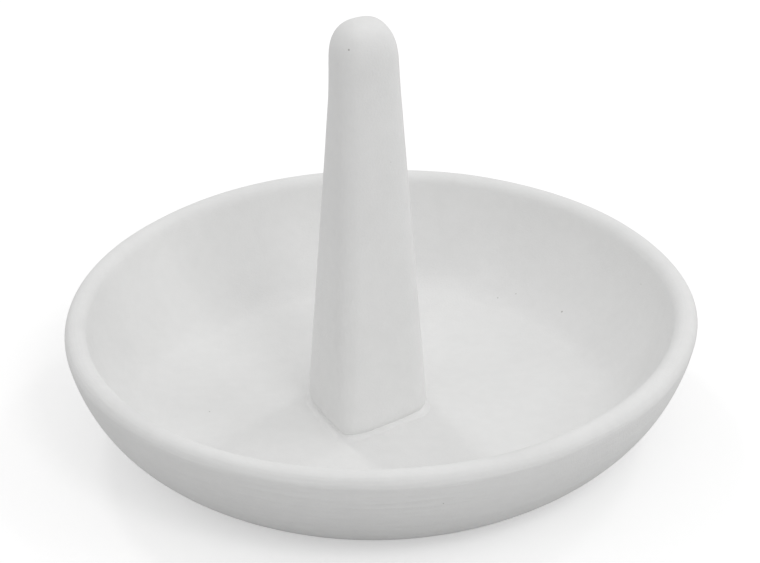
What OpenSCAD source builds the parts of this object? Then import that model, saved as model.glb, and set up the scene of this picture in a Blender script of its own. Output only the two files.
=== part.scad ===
// Ring dish in unglazed white bisque: a shallow round bowl with a tapered post for finger rings.
// The post is a separate lump of clay. It stands in a shallow seat scored into the bowl's floor,
// on a bed of slip, with a thin coil of clay wiped into the corner round its base.
// Millimetres, +Z up. The origin is the middle of the foot, on the table.

/* [Dish] */
// Diameter over the rounded lip
dish_d = 115; // [106:1:128]
// Height of the lip above the table
rim_h = 22.4; // [19:0.1:28]
// Thickness of the wall, which is also the thickness of the lip
wall_t = 4.4; // [3:0.1:5.5]
// Lean of the wall at the lip, outwards from upright
lip_lean = 12.5; // [6:0.5:18]
// Diameter of the foot, where the wall leaves the table
foot_d = 83; // [76:1:92]
// Height of the bowl's floor above the table
floor_h = 5; // [4.2:0.1:7]
// Radius of the soft corner between the floor and the wall
corner_r = 12; // [6:0.5:15]

/* [Foot] */
// Width of the flat ring that the dish stands on
foot_ring_w = 4.5; // [3:0.1:8]
// Depth of the shallow hollow inside that ring
foot_hollow = 0.8; // [0.4:0.1:1.2]
// Width of the slope from the ring into the hollow
foot_slope_w = 2.5; // [1:0.1:4]

/* [Post] */
// Height of the post's tip above the table
post_h = 82.8; // [60:0.1:100]
// Width of the post at the floor, corner to corner
base_w = 22; // [18:0.5:25]
// Depth of the post at the floor, front corner to back corner
base_depth = 28; // [20:0.5:31]
// Width of the post at the shoulder, where the rounded tip starts
shoulder_w = 12.1; // [9:0.1:15]
// Depth of the post at the shoulder
shoulder_depth = 12.7; // [9:0.1:16]
// Height of the rounded tip above the shoulder
tip_h = 8.2; // [4:0.1:12]
// Fullness of the tip: 2 is half an ellipse and more is flatter
tip_fullness = 2.6; // [2:0.1:4]
// Share of the section that is flat at the very top
tip_flat = 0.1; // [0.05:0.01:0.2]
// Squareness of the section at the floor: 2 is round and more is squarer
base_squareness = 6; // [2:0.1:7]
// Squareness of the section at the shoulder
shoulder_squareness = 2.6; // [2:0.1:5]
// Turn of the section at the floor, seen from above
base_turn = -15; // [-30:1:30]
// Turn of the section at the shoulder
shoulder_turn = -24; // [-40:1:40]
// Place of the post's foot to the right of the middle
post_x = -2.7; // [-6:0.1:6]
// Place of the post's foot behind the middle
post_y = -3; // [-6:0.1:6]
// Sideways lean of the post, from the floor to the shoulder
post_lean = 1; // [-3:0.1:3]

/* [Joint] */
// Depth of the seat that the post is pressed into
seat_depth = 0.8; // [0.6:0.1:1.2]
// Gap round the post in its seat, which the slip fills
seat_gap = 0.5; // [0.3:0.1:1]
// Thickness of the slip under the post
slip_t = 0.5; // [0.2:0.1:0.6]
// Width of a score mark
score_w = 0.8; // [0.4:0.1:1.4]
// Depth of a score mark in the dish and in the post
score_depth = 0.4; // [0.2:0.1:0.8]
// Distance from one score mark to the next
score_pitch = 3.6; // [2.5:0.1:6]
// Unscored margin round the post's underside
score_margin = 2; // [1:0.1:4]
// Reach of the wiped coil over the floor
coil_reach = 1.8; // [1.5:0.1:4]
// Climb of the wiped coil up the post
coil_climb = 1.8; // [1.5:0.1:5]

/* [Hidden] */

$fn = 180;
// How far a cut runs past the face that it opens
overcut = 1;

// The wall is one arc. It leaves the foot at the table and ends in the lip at its lean.
lip_r = wall_t / 2;
lip_centre = [dish_d / 2 - lip_r, rim_h - lip_r];
lean_dir = [cos(lip_lean), -sin(lip_lean)];
foot_edge = [foot_d / 2, 0];
wall_rise = lip_centre + lip_r * lean_dir - foot_edge;
wall_r = (wall_rise * wall_rise) / (2 * lean_dir * wall_rise);
inner_r = wall_r - wall_t;
wall_centre = foot_edge + wall_rise - wall_r * lean_dir;
foot_angle = -asin(wall_centre[1] / wall_r);

// The soft corner is an arc that touches the floor and the inside of the wall.
corner_drop = wall_centre[1] - floor_h - corner_r;
corner_angle = -asin(corner_drop / (inner_r - corner_r));
corner_centre = [
    wall_centre[0] + (inner_r - corner_r) * cos(corner_angle),
    floor_h + corner_r
];

// Straight stretches that each arc is drawn with
wall_steps = 14;
lip_steps = 24;
corner_steps = 8;

// Half sizes and heights of the post
seat_z = floor_h - seat_depth;
post_z = seat_z + slip_t;
shoulder_z = post_h - tip_h;
base_half = [base_w, base_depth] / 2;
shoulder_half = [shoulder_w, shoulder_depth] / 2;
post_sides = 56;
shaft_steps = 14;
tip_steps = 8;

// Angles at which the wiped coil's hollow face starts at the floor and ends at the post
coil_from = 22;
coil_to = 68;
coil_steps = 5;

function mix(a, b, s) = a + (b - a) * s;
function post_share(z) = (z - floor_h) / (shoulder_z - floor_h);
function within(s) = min(max(s, 0), 1);

// Distance from the middle to the edge of a softly squared outline, in direction a
function squircle(a, n) = pow(pow(abs(cos(a)), n) + pow(abs(sin(a)), n), -1 / n);

// Outline of the post at height z, with its corners at the front, back and sides,
// spread by grow all round and shrunk by share
function post_outline(z, grow = 0, share = 1) =
    let (
        s = within(post_share(z)),
        n = mix(base_squareness, shoulder_squareness, s),
        half = share * mix(base_half, shoulder_half, s) + [grow, grow],
        turn = mix(base_turn, shoulder_turn, s),
        middle = [post_x + post_lean * post_share(z), post_y]
    )
    [
        for (i = [0 : post_sides - 1])
            let (
                a = 360 * i / post_sides,
                r = squircle(a, n) / squircle(45, n),
                x = half[0] * r * cos(a + 45),
                y = half[1] * r * sin(a + 45)
            )
            middle + [x * cos(turn) - y * sin(turn), x * sin(turn) + y * cos(turn)]
    ];

function raised(outline, z) = [for (p = outline) [p[0], p[1], z]];

// Share of the full section that is left at a height inside the rounded tip
function tip_share(z) =
    pow(1 - pow((z - shoulder_z) / tip_h, tip_fullness), 1 / tip_fullness);

// Closed skin over a stack of outlines, each with the same number of points
module loft(rings) {
    count = len(rings[0]);
    last = (len(rings) - 1) * count;
    sides = [
        for (k = [0 : len(rings) - 2], i = [0 : count - 1])
            let (j = (i + 1) % count, low = k * count, high = low + count)
            each [[low + i, high + i, high + j], [low + i, high + j, low + j]]
    ];
    under = [for (i = [0 : count - 1]) i];
    over = [for (i = [count - 1 : -1 : 0]) last + i];
    polyhedron(
        points = [for (ring = rings) each ring],
        faces = concat(sides, [under, over])
    );
}

module post_body() {
    shaft = [
        for (k = [0 : shaft_steps])
            let (z = mix(post_z, shoulder_z, k / shaft_steps))
            raised(post_outline(z), z)
    ];
    tip = [
        for (k = [1 : tip_steps])
            let (z = shoulder_z + tip_h * sin(90 * k / (tip_steps + 1)))
            raised(post_outline(z, share = tip_share(z)), z)
    ];
    cap = raised(post_outline(post_h, share = tip_flat), post_h);
    loft(concat(shaft, tip, [cap]));
}

// Crossed scratches under the post, from one height to another
module score_marks(from, to) {
    reach = norm(base_half);
    count = floor(reach / score_pitch);
    translate([0, 0, from])
        linear_extrude(to - from)
            intersection() {
                polygon(post_outline(post_z, grow = -score_margin));
                translate([post_x, post_y])
                    for (turn = [45, -45], k = [-count : count])
                        rotate(base_turn + turn)
                            translate([0, k * score_pitch])
                                square([2 * reach, score_w], center = true);
            }
}

// The seat's volume: the post's outline with its gap, from the seat's floor up to a height
module seat(to) {
    translate([0, 0, seat_z])
        linear_extrude(to - seat_z)
            polygon(post_outline(floor_h, grow = seat_gap));
}

// Points along an arc, without its first
function arc(centre, radius, from, to, steps) = [
    for (k = [1 : steps])
        let (a = mix(from, to, k / steps))
        centre + radius * [cos(a), sin(a)]
];

// Half section of the bowl: hollow foot, outside, lip, inside and floor
module bowl_profile() {
    ring_inside = foot_d / 2 - foot_ring_w;
    polygon(concat(
        [[0, foot_hollow], [ring_inside - foot_slope_w, foot_hollow], [ring_inside, 0], foot_edge],
        arc(wall_centre, wall_r, foot_angle, -lip_lean, wall_steps),
        arc(lip_centre, lip_r, -lip_lean, 180 - lip_lean, lip_steps),
        arc(wall_centre, inner_r, -lip_lean, corner_angle, wall_steps),
        arc(corner_centre, corner_r, corner_angle, -90, corner_steps),
        [[0, floor_h]]
    ));
}

// The bowl, with its foot ring, and the scored seat for the post
module dish() {
    color("whitesmoke")
        difference() {
            rotate_extrude()
                bowl_profile();
            seat(floor_h + overcut);
            score_marks(seat_z - score_depth, floor_h);
        }
}

// The tapered, softly squared post, scored underneath
module ring_post() {
    color("gainsboro")
        difference() {
            post_body();
            score_marks(post_z - overcut, post_z + score_depth);
        }
}

// The slip that fills the seat under and round the post, and the score marks in both pieces
module slip_bed() {
    color("linen") {
        difference() {
            seat(floor_h);
            post_body();
        }
        score_marks(seat_z - score_depth, post_z + score_depth);
    }
}

// The thin coil wiped into the corner between the post and the floor
module base_coil() {
    skirt = [
        for (k = [0 : coil_steps])
            let (
                a = mix(coil_from, coil_to, k / coil_steps),
                z = floor_h + coil_climb * (1 - cos(a))
            )
            raised(post_outline(z, grow = coil_reach * (1 - sin(a))), z)
    ];
    foot = raised(post_outline(floor_h, grow = coil_reach * (1 - sin(coil_from))), floor_h);
    color("white")
        difference() {
            loft(concat([foot], skirt));
            post_body();
        }
}

dish();
ring_post();
slip_bed();
base_coil();
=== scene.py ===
from math import atan2, cos, pi, radians, sin, sqrt

import bmesh
import bpy
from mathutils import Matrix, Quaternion, Vector


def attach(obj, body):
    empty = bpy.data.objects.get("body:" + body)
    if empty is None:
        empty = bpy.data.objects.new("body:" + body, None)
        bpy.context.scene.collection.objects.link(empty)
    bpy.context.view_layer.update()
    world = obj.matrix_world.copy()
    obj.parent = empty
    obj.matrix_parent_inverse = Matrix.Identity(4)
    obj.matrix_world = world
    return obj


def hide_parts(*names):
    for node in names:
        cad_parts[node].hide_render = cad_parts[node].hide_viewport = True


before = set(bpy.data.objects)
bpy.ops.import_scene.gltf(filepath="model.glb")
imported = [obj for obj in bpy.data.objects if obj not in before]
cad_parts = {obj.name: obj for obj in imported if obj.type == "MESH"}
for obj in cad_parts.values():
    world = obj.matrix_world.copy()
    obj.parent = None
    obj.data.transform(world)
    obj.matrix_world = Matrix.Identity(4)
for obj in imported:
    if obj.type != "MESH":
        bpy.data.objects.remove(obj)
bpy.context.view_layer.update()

mm = 0.001
nearlyAll = 0.9  # share of the largest measure that still counts as the outermost or longest
level = 0.01 * mm  # heights closer than this are the same
print("ring dish: frame loaded, nodes", sorted(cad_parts))


# Selecting and shaping, shared by all pieces

def startPiece(name):
    piece = bpy.context.active_object
    piece.name = name
    piece.data.name = name
    bpy.ops.object.mode_set(mode='EDIT')
    bpy.ops.mesh.select_all(action='DESELECT')
    return piece


def selectWhere(piece, test, kind="verts"):  # adds each vertex or edge that passes the test
    mesh = bmesh.from_edit_mesh(piece.data)
    for item in getattr(mesh, kind):
        if test(item):
            item.select = True
    mesh.select_flush(True)
    bmesh.update_edit_mesh(piece.data)


def softly(reach):  # options that carry a move along to all that is near
    return {
        "use_proportional_edit": True,
        "proportional_edit_falloff": 'SMOOTH',
        "proportional_size": reach,
    }


def drawIn(scale, centre, **options):  # towards a point or away from it, and level
    bpy.ops.transform.resize(value=(*scale, 1), center_override=(*centre, 0), **options)


def turnRing(angle, centre):  # degrees seen from above, the other way round for the operator
    bpy.ops.transform.rotate(value=-radians(angle), orient_axis='Z', center_override=(*centre, 0))


def extrudeRing(lift, scale, centre):  # one more ring of a wall, raised and then drawn in or out
    bpy.ops.mesh.extrude_region_move(TRANSFORM_OT_translate={"value": (0, 0, lift)})
    drawIn(scale, centre)


def addModifier(piece, kind, name, **values):
    modifier = piece.modifiers.new(name, kind)
    for key, value in values.items():
        setattr(modifier, key, value)
    bpy.ops.object.modifier_apply(modifier=name)


def finishPiece(piece, wave, waveDepth):  # closed, softened, and slightly uneven as by hand and sponge
    bpy.ops.mesh.select_all(action='SELECT')
    bpy.ops.mesh.remove_doubles(threshold=0.001 * mm)
    bpy.ops.mesh.normals_make_consistent(inside=False)
    bpy.ops.mesh.select_all(action='DESELECT')
    bpy.ops.object.mode_set(mode='OBJECT')
    bpy.ops.object.shade_smooth()
    addModifier(piece, 'SUBSURF', "soften", levels=2, render_levels=2)
    clouds = bpy.data.textures.new(piece.name + "Waves", 'CLOUDS')
    clouds.noise_scale = wave
    clouds.noise_depth = 1
    addModifier(
        piece, 'DISPLACE', "waves", texture=clouds, texture_coords='LOCAL', strength=waveDepth, mid_level=0.5)
    print(piece.name + ":", len(piece.data.polygons), "faces")


def arcPoints(centre, radius, start, end, steps):  # without the first point
    return [
        (centre[0] + radius * cos(start + (end - start) * k / steps),
         centre[1] + radius * sin(start + (end - start) * k / steps))
        for k in range(1, steps + 1)
    ]


# The bowl: a small ring under the middle, extruded out, up, over the lip and back to the middle

bowl = {
    "rim": 57.5 * mm,
    "height": 22.4 * mm,
    "wall": 4.4 * mm,
    "lean": radians(12.5),  # outwards, at the lip
    "foot": 41.5 * mm,
    "floor": 5 * mm,
    "corner": 12 * mm,  # radius between the floor and the wall
    "footRing": 4.5 * mm,
    "footHollow": 0.8 * mm,
    "footSlope": 2.5 * mm,
    "footBevel": 0.5 * mm,
    "slopeEnd": 0.12,  # share of the hollow that is left where the slope meets the foot ring
    "wallStart": 0.02,  # radians up the wall from the edge of the foot
    "segments": 96,
    "wallSteps": 15,
    "lipSteps": 14,
    "insideSteps": 9,
    "cornerSteps": 7,
    "underShares": (0.1, 0.35, 0.65, 0.85),
    "floorShares": (0.94, 0.86, 0.77, 0.68, 0.58, 0.47, 0.35, 0.22, 0.1),
    "rubbed": 0.16 * mm,  # all that is lower is rubbed flat
    "pull": [  # where hands and the kiln have moved the wall: place, move and reach in mm
        ((57, 4, 20), (0.55, 0, 0), 30),
        ((36, -42, 14), (-0.35, 0.35, 0), 26),
        ((-20, 50, 20), (-0.1, 0.35, 0), 28),
    ],
    "wave": 34 * mm,
    "waveDepth": 0.28 * mm,
}


def bowlProfile():  # radius and height of each ring
    lipRadius = bowl["wall"] / 2
    lean = bowl["lean"]
    lip = Vector((bowl["rim"] - lipRadius, bowl["height"] - lipRadius))
    leanWay = Vector((cos(lean), -sin(lean)))
    foot = Vector((bowl["foot"], 0))
    rise = lip + lipRadius * leanWay - foot
    outer = rise.dot(rise) / (2 * leanWay.dot(rise))
    centre = foot + rise - outer * leanWay
    inner = outer - bowl["wall"]
    footAngle = atan2(-centre.y, foot.x - centre.x)
    drop = centre.y - bowl["floor"] - bowl["corner"]
    cornerAngle = -atan2(drop, sqrt((inner - bowl["corner"]) ** 2 - drop ** 2))
    corner = (centre.x + (inner - bowl["corner"]) * cos(cornerAngle), bowl["floor"] + bowl["corner"])
    ring = bowl["foot"] - bowl["footRing"]
    hollow = bowl["footHollow"]
    bevel = bowl["footBevel"]
    under = [(share * ring, hollow) for share in bowl["underShares"]]
    slope = [(ring - bowl["footSlope"], hollow), (ring - bevel, bowl["slopeEnd"] * hollow)]
    stand = [(ring, 0), (ring + bevel, 0), (foot.x - 2 * bevel, 0), (foot.x - bevel / 2, 0)]
    wallOut = arcPoints(centre, outer, footAngle + bowl["wallStart"], -lean, bowl["wallSteps"])
    lipRound = arcPoints(lip, lipRadius, -lean, pi - lean, bowl["lipSteps"])
    wallIn = arcPoints(centre, inner, -lean, cornerAngle, bowl["insideSteps"])
    cornerIn = arcPoints(corner, bowl["corner"], cornerAngle, -pi / 2, bowl["cornerSteps"])
    floorEdge = cornerIn[-1][0]
    floorIn = [(share * floorEdge, bowl["floor"]) for share in bowl["floorShares"]]
    return under + slope + stand + wallOut + lipRound + wallIn + cornerIn + floorIn


def pullWall(piece):
    for place, move, reach in bowl["pull"]:
        target = Vector(place) * mm
        mesh = bmesh.from_edit_mesh(piece.data)
        nearest = min(mesh.verts, key=lambda v: (v.co - target).length)
        bpy.ops.mesh.select_all(action='DESELECT')
        selectWhere(piece, lambda v: v == nearest)
        bpy.ops.transform.translate(value=[m * mm for m in move], **softly(reach * mm))


def makeBowl():
    profile = bowlProfile()
    first, start = profile[0]
    bpy.ops.object.select_all(action='DESELECT')
    bpy.ops.mesh.primitive_circle_add(
        vertices=bowl["segments"], radius=first, fill_type='TRIFAN', location=(0, 0, start))
    bpy.ops.object.transform_apply(location=True, rotation=False, scale=False)
    piece = startPiece("bowl")
    selectWhere(piece, lambda v: v.co.xy.length > nearlyAll * first)
    for (radius, height), (nextRadius, nextHeight) in zip(profile, profile[1:]):
        scale = nextRadius / radius
        extrudeRing(nextHeight - height, (scale, scale), (0, 0))
    bpy.ops.mesh.extrude_region_move(TRANSFORM_OT_translate={"value": (0, 0, 0)})
    bpy.ops.mesh.merge(type='CENTER')
    bpy.ops.mesh.select_all(action='SELECT')
    bpy.ops.mesh.normals_make_consistent(inside=False)
    pullWall(piece)
    finishPiece(piece, bowl["wave"], bowl["waveDepth"])
    bpy.ops.object.mode_set(mode='EDIT')  # the waves have reached the foot, so it is rubbed flat again
    bpy.ops.mesh.select_all(action='DESELECT')
    selectWhere(piece, lambda v: v.co.z < bowl["rubbed"])
    bpy.ops.transform.resize(value=(1, 1, 0), center_override=(0, 0, 0))
    bpy.ops.mesh.select_all(action='DESELECT')
    bpy.ops.object.mode_set(mode='OBJECT')
    return piece


# The post: a soft square turned corner to the front, drawn up in rings and rounded over the top

post = {
    "bottom": 4.8 * mm,
    "bottomBand": 0.3 * mm,  # smoothing keeps the lowest ring this near to the bottom
    "tenon": 1.5 * mm,  # how far it closes below that, inside the floor
    "floor": 5 * mm,
    "shoulder": 74.6 * mm,
    "tip": 82.8 * mm,
    "fullness": 2.6,  # of the tip: 2 is half an ellipse and more is flatter
    "halfBase": (11 * mm, 14 * mm),
    "halfShoulder": (6.05 * mm, 6.35 * mm),
    "cornerCut": 0.27,  # where the rounding of a corner starts, as a share of the half width
    "cornerSteps": 7,
    "sideCuts": 6,
    "place": (-2.7 * mm, -3 * mm),
    "lean": 1 * mm,
    "turn": (-15, -24),  # degrees at the floor and at the shoulder
    "bow": 0.25 * mm,
    "rings": 26,
    "rounding": 1.6,  # shared out over the rings, on the way up to a rounder section
    "tipRings": 9,
    "capSpan": 14,
    "blend": 0.5,
    "blendTurns": 6,
    "regain": (1.03, 1.012),  # what blending took off, given back from the left edge
    "leftEdge": -8.7 * mm,
    "tipFill": (1.04, 1.02),  # the same for the tip, from the right edge
    "rightEdge": 4.4 * mm,
    "tipFrom": 79 * mm,
    "tipReach": 13 * mm,
    "wave": 13 * mm,
    "waveDepth": 0.14 * mm,
}


def softSquare(half, height):  # an outline to extrude, at the post's place with a corner to the front
    bpy.ops.object.select_all(action='DESELECT')
    bpy.ops.mesh.primitive_circle_add(vertices=4, radius=1, fill_type='NOTHING', location=(0, 0, 0))
    outline = bpy.context.active_object
    bpy.ops.object.mode_set(mode='EDIT')
    bpy.ops.mesh.select_all(action='SELECT')
    bpy.ops.mesh.bevel(
        offset_type='OFFSET', offset=post["cornerCut"], segments=post["cornerSteps"],
        affect='VERTICES', profile=0.5)
    bpy.ops.mesh.select_all(action='DESELECT')
    mesh = bmesh.from_edit_mesh(outline.data)
    longest = max(e.calc_length() for e in mesh.edges)
    selectWhere(outline, lambda e: e.calc_length() > nearlyAll * longest, "edges")
    bpy.ops.mesh.subdivide(number_cuts=post["sideCuts"])
    bpy.ops.mesh.select_all(action='SELECT')
    reach = max(v.co.x for v in mesh.verts)
    drawIn((half[0] / reach, half[1] / reach), (0, 0))
    bpy.ops.transform.translate(value=(*post["place"], height))
    bpy.ops.object.mode_set(mode='OBJECT')


def postMiddle(share):
    sideways = post["lean"] * share + post["bow"] * sin(pi * min(max(share, 0), 1))
    return (post["place"][0] + sideways, post["place"][1])


def postSteps():  # share of the way up, past 1 in the tip, and share of the section that is left there
    fullness = post["fullness"]
    shaft = [(k / post["rings"], 1) for k in range(1, post["rings"] + 1)]
    ups = [sin(pi / 2 * k / (post["tipRings"] + 1)) for k in range(1, post["tipRings"] + 1)]
    return shaft + [(1 + up, (1 - up ** fullness) ** (1 / fullness)) for up in ups]


def postSection(share, left):  # height, half widths, turn and middle of a ring
    along = min(share, 1)
    rise = post["shoulder"] - post["floor"]
    height = post["floor"] + rise * along + (post["tip"] - post["shoulder"]) * max(share - 1, 0)
    half = [(a + (b - a) * along) * left for a, b in zip(post["halfBase"], post["halfShoulder"])]
    turn = post["turn"][0] + (post["turn"][1] - post["turn"][0]) * along
    return height, half, turn, postMiddle((height - post["floor"]) / rise)


def makePost():
    softSquare(post["halfBase"], post["bottom"])
    piece = startPiece("ringPost")
    bpy.ops.mesh.select_all(action='SELECT')
    turnRing(post["turn"][0], post["place"])
    height, half, turn, middle = post["bottom"], post["halfBase"], post["turn"][0], postMiddle(0)
    for share, left in postSteps():
        nextHeight, nextHalf, nextTurn, nextMiddle = postSection(share, left)
        move = (nextMiddle[0] - middle[0], nextMiddle[1] - middle[1], nextHeight - height)
        bpy.ops.mesh.extrude_region_move(TRANSFORM_OT_translate={"value": move})
        turnRing(-turn, nextMiddle)
        drawIn((nextHalf[0] / half[0], nextHalf[1] / half[1]), nextMiddle)
        if share <= 1:
            bpy.ops.transform.tosphere(value=post["rounding"] / post["rings"])
        turnRing(nextTurn, nextMiddle)
        height, half, turn, middle = nextHeight, nextHalf, nextTurn, nextMiddle
    bpy.ops.mesh.fill_grid(span=post["capSpan"])
    bpy.ops.mesh.select_all(action='DESELECT')
    bpy.ops.object.mode_set(mode='OBJECT')
    addModifier(
        piece, 'SHRINKWRAP', "fit", target=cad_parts["ring_post"], wrap_method='NEAREST_SURFACEPOINT')
    addModifier(
        piece, 'SMOOTH', "blend", factor=post["blend"], iterations=post["blendTurns"], use_z=False)
    bpy.ops.object.mode_set(mode='EDIT')
    bpy.ops.mesh.select_all(action='SELECT')
    drawIn(post["regain"], (post["leftEdge"], post["place"][1]))
    bpy.ops.mesh.select_all(action='DESELECT')
    selectWhere(piece, lambda v: v.co.z > post["tipFrom"])
    drawIn(post["tipFill"], (post["rightEdge"], post["place"][1]), **softly(post["tipReach"]))
    bpy.ops.mesh.select_all(action='DESELECT')
    selectWhere(piece, lambda v: v.co.z < post["bottom"] + post["bottomBand"])
    bpy.ops.mesh.extrude_region_move(TRANSFORM_OT_translate={"value": (0, 0, -post["tenon"])})
    bpy.ops.mesh.merge(type='CENTER')
    finishPiece(piece, post["wave"], post["waveDepth"])
    return piece


# The curb: a thin coil of soft clay wiped into the corner round the post

curb = {
    "reach": 0.9 * mm,  # over the floor
    "climb": 1.1 * mm,  # up the post
    "sink": 0.7 * mm,  # of its top edge into the post
    "sunk": 0.3 * mm,  # of its underside into the floor
    "inside": 2.5 * mm,  # from the post's face to its hidden inner wall
    "steps": 6,
    "wave": 5 * mm,
    "waveDepth": 0.25 * mm,
}


def curbRings(bottom):  # growth past the post's outline, and height
    rings = []
    for k in range(curb["steps"] + 1):
        angle = pi / 2 * k / curb["steps"]
        grow = curb["reach"] - (curb["reach"] + curb["sink"]) * sin(angle)
        rings.append((grow, post["floor"] + curb["climb"] * (1 - cos(angle))))
    return rings + [(-curb["inside"], post["floor"] + curb["climb"]), (-curb["inside"], bottom)]


def makeCurb():
    bottom = post["floor"] - curb["sunk"]
    height, half = bottom, [h + curb["reach"] for h in post["halfBase"]]
    softSquare(half, bottom)
    piece = startPiece("curb")
    bpy.ops.mesh.select_all(action='SELECT')
    for grow, nextHeight in curbRings(bottom):
        nextHalf = [h + grow for h in post["halfBase"]]
        extrudeRing(nextHeight - height, (nextHalf[0] / half[0], nextHalf[1] / half[1]), post["place"])
        height, half = nextHeight, nextHalf
    selectWhere(piece, lambda v: v.co.z < bottom + level)
    bpy.ops.mesh.bridge_edge_loops()
    bpy.ops.mesh.select_all(action='SELECT')
    turnRing(post["turn"][0], post["place"])
    finishPiece(piece, curb["wave"], curb["waveDepth"])
    return piece


# Fired clay: node groups put out masks and heights, and each material sets its own values

bisque = {
    "tooth": (2600, 3, 0.6),  # noise scale, detail and roughness
    "rub": (420, 4, 0.55),
    "cloud": (55, 3, 0.5),
    "slowShare": 0.6,  # of cloud in the tone and of tooth in the grain, with rub as the rest
    "poreScale": 260,
    "poreSize": 0.06,
    "poreEdge": 60,
    "poreless": 0.55,  # share of the cells without a pore
    "pitDepth": 2.5,
}

fettling = {
    "wallCentre": (29.7 * mm, 25.9 * mm),  # of the arc that the wall follows: radius and height
    "wallMiddle": 26.2 * mm,  # radius of that arc half way through the wall
    "wallEdge": 900,
    "strokes": (2.6, 3, 0.6),
    "upTheWall": 330,  # how much closer the strokes lie up the wall than round it
}


def mathNode(tree, operation, *values, clamp=False):
    node = tree.nodes.new('ShaderNodeMath')
    node.operation = operation
    node.use_clamp = clamp
    for socket, value in zip(node.inputs, values):
        if isinstance(value, (int, float)):
            socket.default_value = value
        else:
            tree.links.new(value, socket)
    return node.outputs[0]


def shareNode(tree, first, second, share):  # that share of the first and the rest of the second
    part = mathNode(tree, 'MULTIPLY', first, share)
    return mathNode(tree, 'ADD', part, mathNode(tree, 'MULTIPLY', second, 1 - share))


def lengthNode(tree, across, along):
    square = mathNode(tree, 'ADD', mathNode(tree, 'MULTIPLY', across, across),
                      mathNode(tree, 'MULTIPLY', along, along))
    return mathNode(tree, 'SQRT', square)


def noiseNode(tree, place, values):
    node = tree.nodes.new('ShaderNodeTexNoise')
    for name, value in zip(("Scale", "Detail", "Roughness"), values):
        node.inputs[name].default_value = value
    tree.links.new(place, node.inputs["Vector"])
    return node.outputs["Fac"]


def startGroup(name, amounts, results):  # every group is given a place, and amounts that start at 1
    group = bpy.data.node_groups.new(name, 'ShaderNodeTree')
    group.interface.new_socket(name="Place", in_out='INPUT', socket_type='NodeSocketVector')
    for label in amounts:
        amount = group.interface.new_socket(name=label, in_out='INPUT', socket_type='NodeSocketFloat')
        amount.default_value = 1
    for label in results:
        group.interface.new_socket(name=label, in_out='OUTPUT', socket_type='NodeSocketFloat')
    return group, group.nodes.new('NodeGroupInput').outputs, group.nodes.new('NodeGroupOutput').inputs


def bisqueGroup():  # grain, pits and cloudy tone
    group, given, results = startGroup("bisqueSurface", ("Grain", "Pits"), ("Tone", "Pit", "Height"))
    tooth = noiseNode(group, given["Place"], bisque["tooth"])
    rub = noiseNode(group, given["Place"], bisque["rub"])
    cloud = noiseNode(group, given["Place"], bisque["cloud"])
    pores = group.nodes.new('ShaderNodeTexVoronoi')
    pores.inputs["Scale"].default_value = bisque["poreScale"]
    group.links.new(given["Place"], pores.inputs["Vector"])
    split = group.nodes.new('ShaderNodeSeparateColor')
    group.links.new(pores.outputs["Color"], split.inputs["Color"])
    size = mathNode(group, 'MULTIPLY', split.outputs["Red"], bisque["poreSize"])
    within = mathNode(group, 'SUBTRACT', size, pores.outputs["Distance"])
    dot = mathNode(group, 'MULTIPLY', within, bisque["poreEdge"], clamp=True)
    chosen = mathNode(group, 'GREATER_THAN', split.outputs["Green"], bisque["poreless"])
    pit = mathNode(group, 'MULTIPLY', mathNode(group, 'MULTIPLY', dot, chosen), given["Pits"], clamp=True)
    grain = shareNode(group, tooth, rub, bisque["slowShare"])
    raised = mathNode(group, 'MULTIPLY', grain, given["Grain"])
    sunk = mathNode(group, 'MULTIPLY', pit, bisque["pitDepth"])
    group.links.new(shareNode(group, cloud, rub, bisque["slowShare"]), results["Tone"])
    group.links.new(pit, results["Pit"])
    group.links.new(mathNode(group, 'SUBTRACT', raised, sunk), results["Height"])
    return group


def fettlingGroup():  # faint level strokes of the scraper and sponge round the outside of the wall
    group, given, results = startGroup("fettlingMarks", (), ("Height",))
    split = group.nodes.new('ShaderNodeSeparateXYZ')
    group.links.new(given["Place"], split.inputs[0])
    x, y, z = split.outputs
    angle = mathNode(group, 'ARCTAN2', y, x)
    turned = group.nodes.new('ShaderNodeCombineXYZ')
    group.links.new(mathNode(group, 'SINE', angle), turned.inputs[0])
    group.links.new(mathNode(group, 'COSINE', angle), turned.inputs[1])
    group.links.new(mathNode(group, 'MULTIPLY', z, fettling["upTheWall"]), turned.inputs[2])
    strokes = noiseNode(group, turned.outputs[0], fettling["strokes"])
    across = mathNode(group, 'SUBTRACT', lengthNode(group, x, y), fettling["wallCentre"][0])
    down = mathNode(group, 'SUBTRACT', z, fettling["wallCentre"][1])
    past = mathNode(group, 'SUBTRACT', lengthNode(group, across, down), fettling["wallMiddle"])
    outside = mathNode(group, 'MULTIPLY', past, fettling["wallEdge"], clamp=True)
    group.links.new(mathNode(group, 'MULTIPLY', strokes, outside), results["Height"])
    return group


bowlLook = {
    "dark": (0.79, 0.79, 0.785),
    "light": (0.835, 0.835, 0.83),
    "toneSpan": (0.3, 0.7),  # where dark ends and light starts in the clouds
    # colour inside the pits, darker than the clay: painted shade in the pores
    "pitShadeColour": (0.52, 0.51, 0.5),
    "roughness": 0.78,
    "roughSpan": 0.16,
    "bending": 1.45,  # index of refraction
    "sheen": 0.25,
    "grain": 1.7,
    "pits": 1.0,
    "fettling": 4.5,
    "bump": 0.42,
    "bumpDepth": 0.1 * mm,
}
postLook = {**bowlLook, "fettling": 0, "grain": 1.9}
# the slip is smoother and without pits, and its lighter colour is a painted highlight on the curb and the
# slip bed
slipLookPaintedHighlight = {**postLook, "light": (0.86, 0.86, 0.855), "pits": 0.0, "grain": 0.7}


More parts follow.
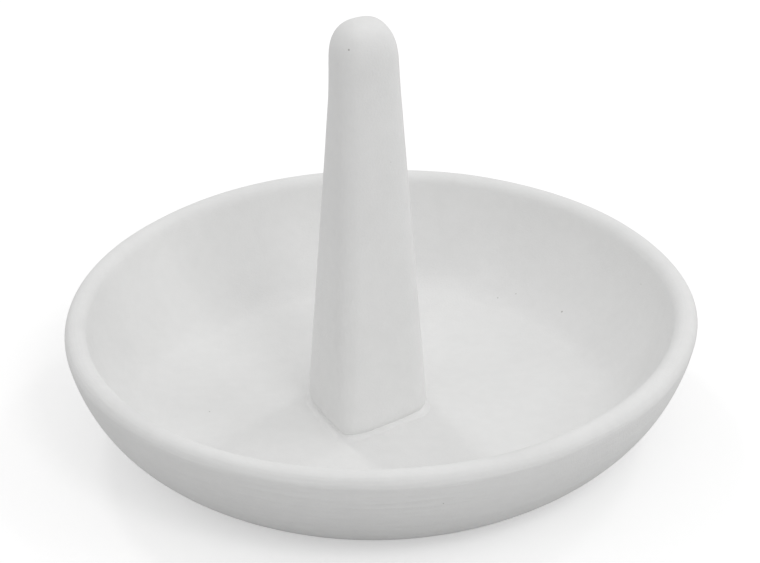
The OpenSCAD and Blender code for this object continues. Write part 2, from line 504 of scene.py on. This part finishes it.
def claySurface(name, look, groups):
    material = bpy.data.materials.new(name)
    material.use_nodes = True
    tree = material.node_tree
    shader = tree.nodes["Principled BSDF"]
    shader.inputs["Metallic"].default_value = 0
    shader.inputs["IOR"].default_value = look["bending"]
    shader.inputs["Specular IOR Level"].default_value = look["sheen"]
    place = tree.nodes.new('ShaderNodeTexCoord').outputs["Object"]
    surface = tree.nodes.new('ShaderNodeGroup')
    surface.node_tree = groups["bisque"]
    surface.inputs["Grain"].default_value = look["grain"]
    surface.inputs["Pits"].default_value = look["pits"]
    tree.links.new(place, surface.inputs["Place"])
    tone = tree.nodes.new('ShaderNodeValToRGB')
    for stop, position, colour in zip(
            tone.color_ramp.elements, look["toneSpan"], (look["dark"], look["light"])):
        stop.position = position
        stop.color = (*colour, 1)
    tree.links.new(surface.outputs["Tone"], tone.inputs["Fac"])
    # the pit mask darkens the base colour: painted shade inside the pores
    pitShaded = tree.nodes.new('ShaderNodeMix')
    pitShaded.data_type = 'RGBA'
    pitShaded.inputs["B"].default_value = (*look["pitShadeColour"], 1)
    tree.links.new(surface.outputs["Pit"], pitShaded.inputs["Factor"])
    tree.links.new(tone.outputs["Color"], pitShaded.inputs["A"])
    tree.links.new(pitShaded.outputs["Result"], shader.inputs["Base Color"])
    rough = mathNode(
        tree, 'MULTIPLY_ADD', surface.outputs["Tone"], look["roughSpan"], look["roughness"], clamp=True)
    tree.links.new(rough, shader.inputs["Roughness"])
    height = surface.outputs["Height"]
    if look["fettling"]:
        strokes = tree.nodes.new('ShaderNodeGroup')
        strokes.node_tree = groups["fettling"]
        tree.links.new(place, strokes.inputs["Place"])
        height = mathNode(tree, 'MULTIPLY_ADD', strokes.outputs["Height"], look["fettling"], height)
    bump = tree.nodes.new('ShaderNodeBump')
    bump.inputs["Strength"].default_value = look["bump"]
    bump.inputs["Distance"].default_value = look["bumpDepth"]
    tree.links.new(height, bump.inputs["Height"])
    tree.links.new(bump.outputs["Normal"], shader.inputs["Normal"])
    return material


# Studio: a pale floor and backdrop, two small lamps behind, two lamps in front on the right,
# and a broad one on each side

studio = {
    "floorHalf": 3.0,
    "floorColour": 0.66,
    "floorGlow": 0.45,
    "world": 0.63,
    "lamps": [  # name, direction towards the lamp, size, power
        ("backRightLamp", (0.78, 0.63, 1.15), 0.26, 1.6),
        ("backLeftLamp", (-0.47, 0.88, 1.2), 0.26, 2.4),
        ("frontRightLamp", (0.48, -0.87, 1.1), 0.5, 3.0),
        ("frontRightHigh", (0.5, -0.8, 1.8), 0.8, 0.4),
        ("rightLow", (1, -0.1, 0.6), 1.2, 3.1),
        ("leftSoftbox", (-1, -0.3, 0.8), 1.4, 0.9),
    ],
    "lampReach": 1.6,
}


def seenRays(tree):  # 1 where the camera or a reflection looks, 0 where light is gathered
    path = tree.nodes.new('ShaderNodeLightPath')
    return mathNode(tree, 'MAXIMUM', path.outputs["Is Camera Ray"], path.outputs["Is Glossy Ray"])


def makeFloor():
    bpy.ops.object.select_all(action='DESELECT')
    bpy.ops.mesh.primitive_plane_add(size=2 * studio["floorHalf"], location=(0, 0, 0))
    floor = bpy.context.active_object
    floor.name = "studioFloor"
    material = bpy.data.materials.new("paleFloor")
    material.use_nodes = True
    tree = material.node_tree
    tree.nodes.remove(tree.nodes["Principled BSDF"])
    diffuse = tree.nodes.new('ShaderNodeBsdfDiffuse')
    diffuse.inputs["Color"].default_value = (studio["floorColour"],) * 3 + (1,)
    glow = tree.nodes.new('ShaderNodeEmission')
    strength = mathNode(tree, 'MULTIPLY', seenRays(tree), studio["floorGlow"])
    tree.links.new(strength, glow.inputs["Strength"])
    both = tree.nodes.new('ShaderNodeAddShader')
    tree.links.new(diffuse.outputs[0], both.inputs[0])
    tree.links.new(glow.outputs[0], both.inputs[1])
    tree.links.new(both.outputs[0], tree.nodes["Material Output"].inputs["Surface"])
    floor.data.materials.append(material)


def makeLights():
    world = bpy.data.worlds.new("paleStudio")
    bpy.context.scene.world = world
    world.use_nodes = True
    tree = world.node_tree
    room = tree.nodes["Background"]
    backdrop = tree.nodes.new('ShaderNodeBackground')
    for source in (room, backdrop):
        source.inputs["Color"].default_value = (1, 1, 1, 1)
    room.inputs["Strength"].default_value = studio["world"]
    either = tree.nodes.new('ShaderNodeMixShader')
    tree.links.new(seenRays(tree), either.inputs[0])
    tree.links.new(room.outputs[0], either.inputs[1])
    tree.links.new(backdrop.outputs[0], either.inputs[2])
    tree.links.new(either.outputs[0], tree.nodes["World Output"].inputs["Surface"])
    for name, way, size, power in studio["lamps"]:
        data = bpy.data.lights.new(name, 'AREA')
        data.shape = 'DISK'
        data.size = size
        data.energy = power
        lamp = bpy.data.objects.new(name, data)
        bpy.context.scene.collection.objects.link(lamp)
        towards = Vector(way).normalized()
        lamp.location = towards * studio["lampReach"]
        lamp.rotation_mode = 'QUATERNION'
        lamp.rotation_quaternion = (-towards).to_track_quat('-Z', 'Y')


view = {
    "distance": 0.8,
    "height": 0.01,
    "elevation": radians(30.349),
    "tilt": radians(29.175),
    "pan": radians(0.024),
    "roll": radians(-1.375),
    "lens": 206.4,
    "sensor": 36,
    "nearest": 0.05,
}


def makeCamera():
    data = bpy.data.cameras.new("photoCamera")
    data.lens = view["lens"]
    data.sensor_width = view["sensor"]
    data.clip_start = view["nearest"]
    camera = bpy.data.objects.new("photoCamera", data)
    bpy.context.scene.collection.objects.link(camera)
    away = view["distance"]
    camera.location = (0, -away * cos(view["elevation"]), view["height"] + away * sin(view["elevation"]))
    ahead = cos(view["tilt"])
    look = Vector((sin(view["pan"]) * ahead, cos(view["pan"]) * ahead, -sin(view["tilt"])))
    camera.rotation_mode = 'QUATERNION'
    camera.rotation_quaternion = look.to_track_quat('-Z', 'Y') @ Quaternion((0, 0, 1), view["roll"])
    bpy.context.scene.camera = camera


makeCamera()
makeLights()
makeFloor()
bpy.context.scene.view_settings.view_transform = 'Standard'
print("studio: camera, lamps and floor ready")

bowlPiece = makeBowl()
postPiece = makePost()
curbPiece = makeCurb()

groups = {"bisque": bisqueGroup(), "fettling": fettlingGroup()}
bowlClay = claySurface("bowlBisque", bowlLook, groups)
postClay = claySurface("postBisque", postLook, groups)
# smooth slip whose lighter colour is a painted highlight
firedSlipPaintedHighlight = claySurface("firedSlipPaintedHighlight", slipLookPaintedHighlight, groups)
for piece, material in ((bowlPiece, bowlClay), (postPiece, postClay), (curbPiece, firedSlipPaintedHighlight)):
    piece.data.materials.append(material)
for name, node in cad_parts.items():
    material = firedSlipPaintedHighlight if name in ("slip_bed", "base_coil") else postClay
    node.data.materials.clear()
    node.data.materials.append(material)
print("materials: bisque on bowl and post, fired slip on the curb and the slip bed")

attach(bowlPiece, "root")
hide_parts("dish")
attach(postPiece, "root")
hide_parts("ring_post")
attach(curbPiece, "root")
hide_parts("base_coil")
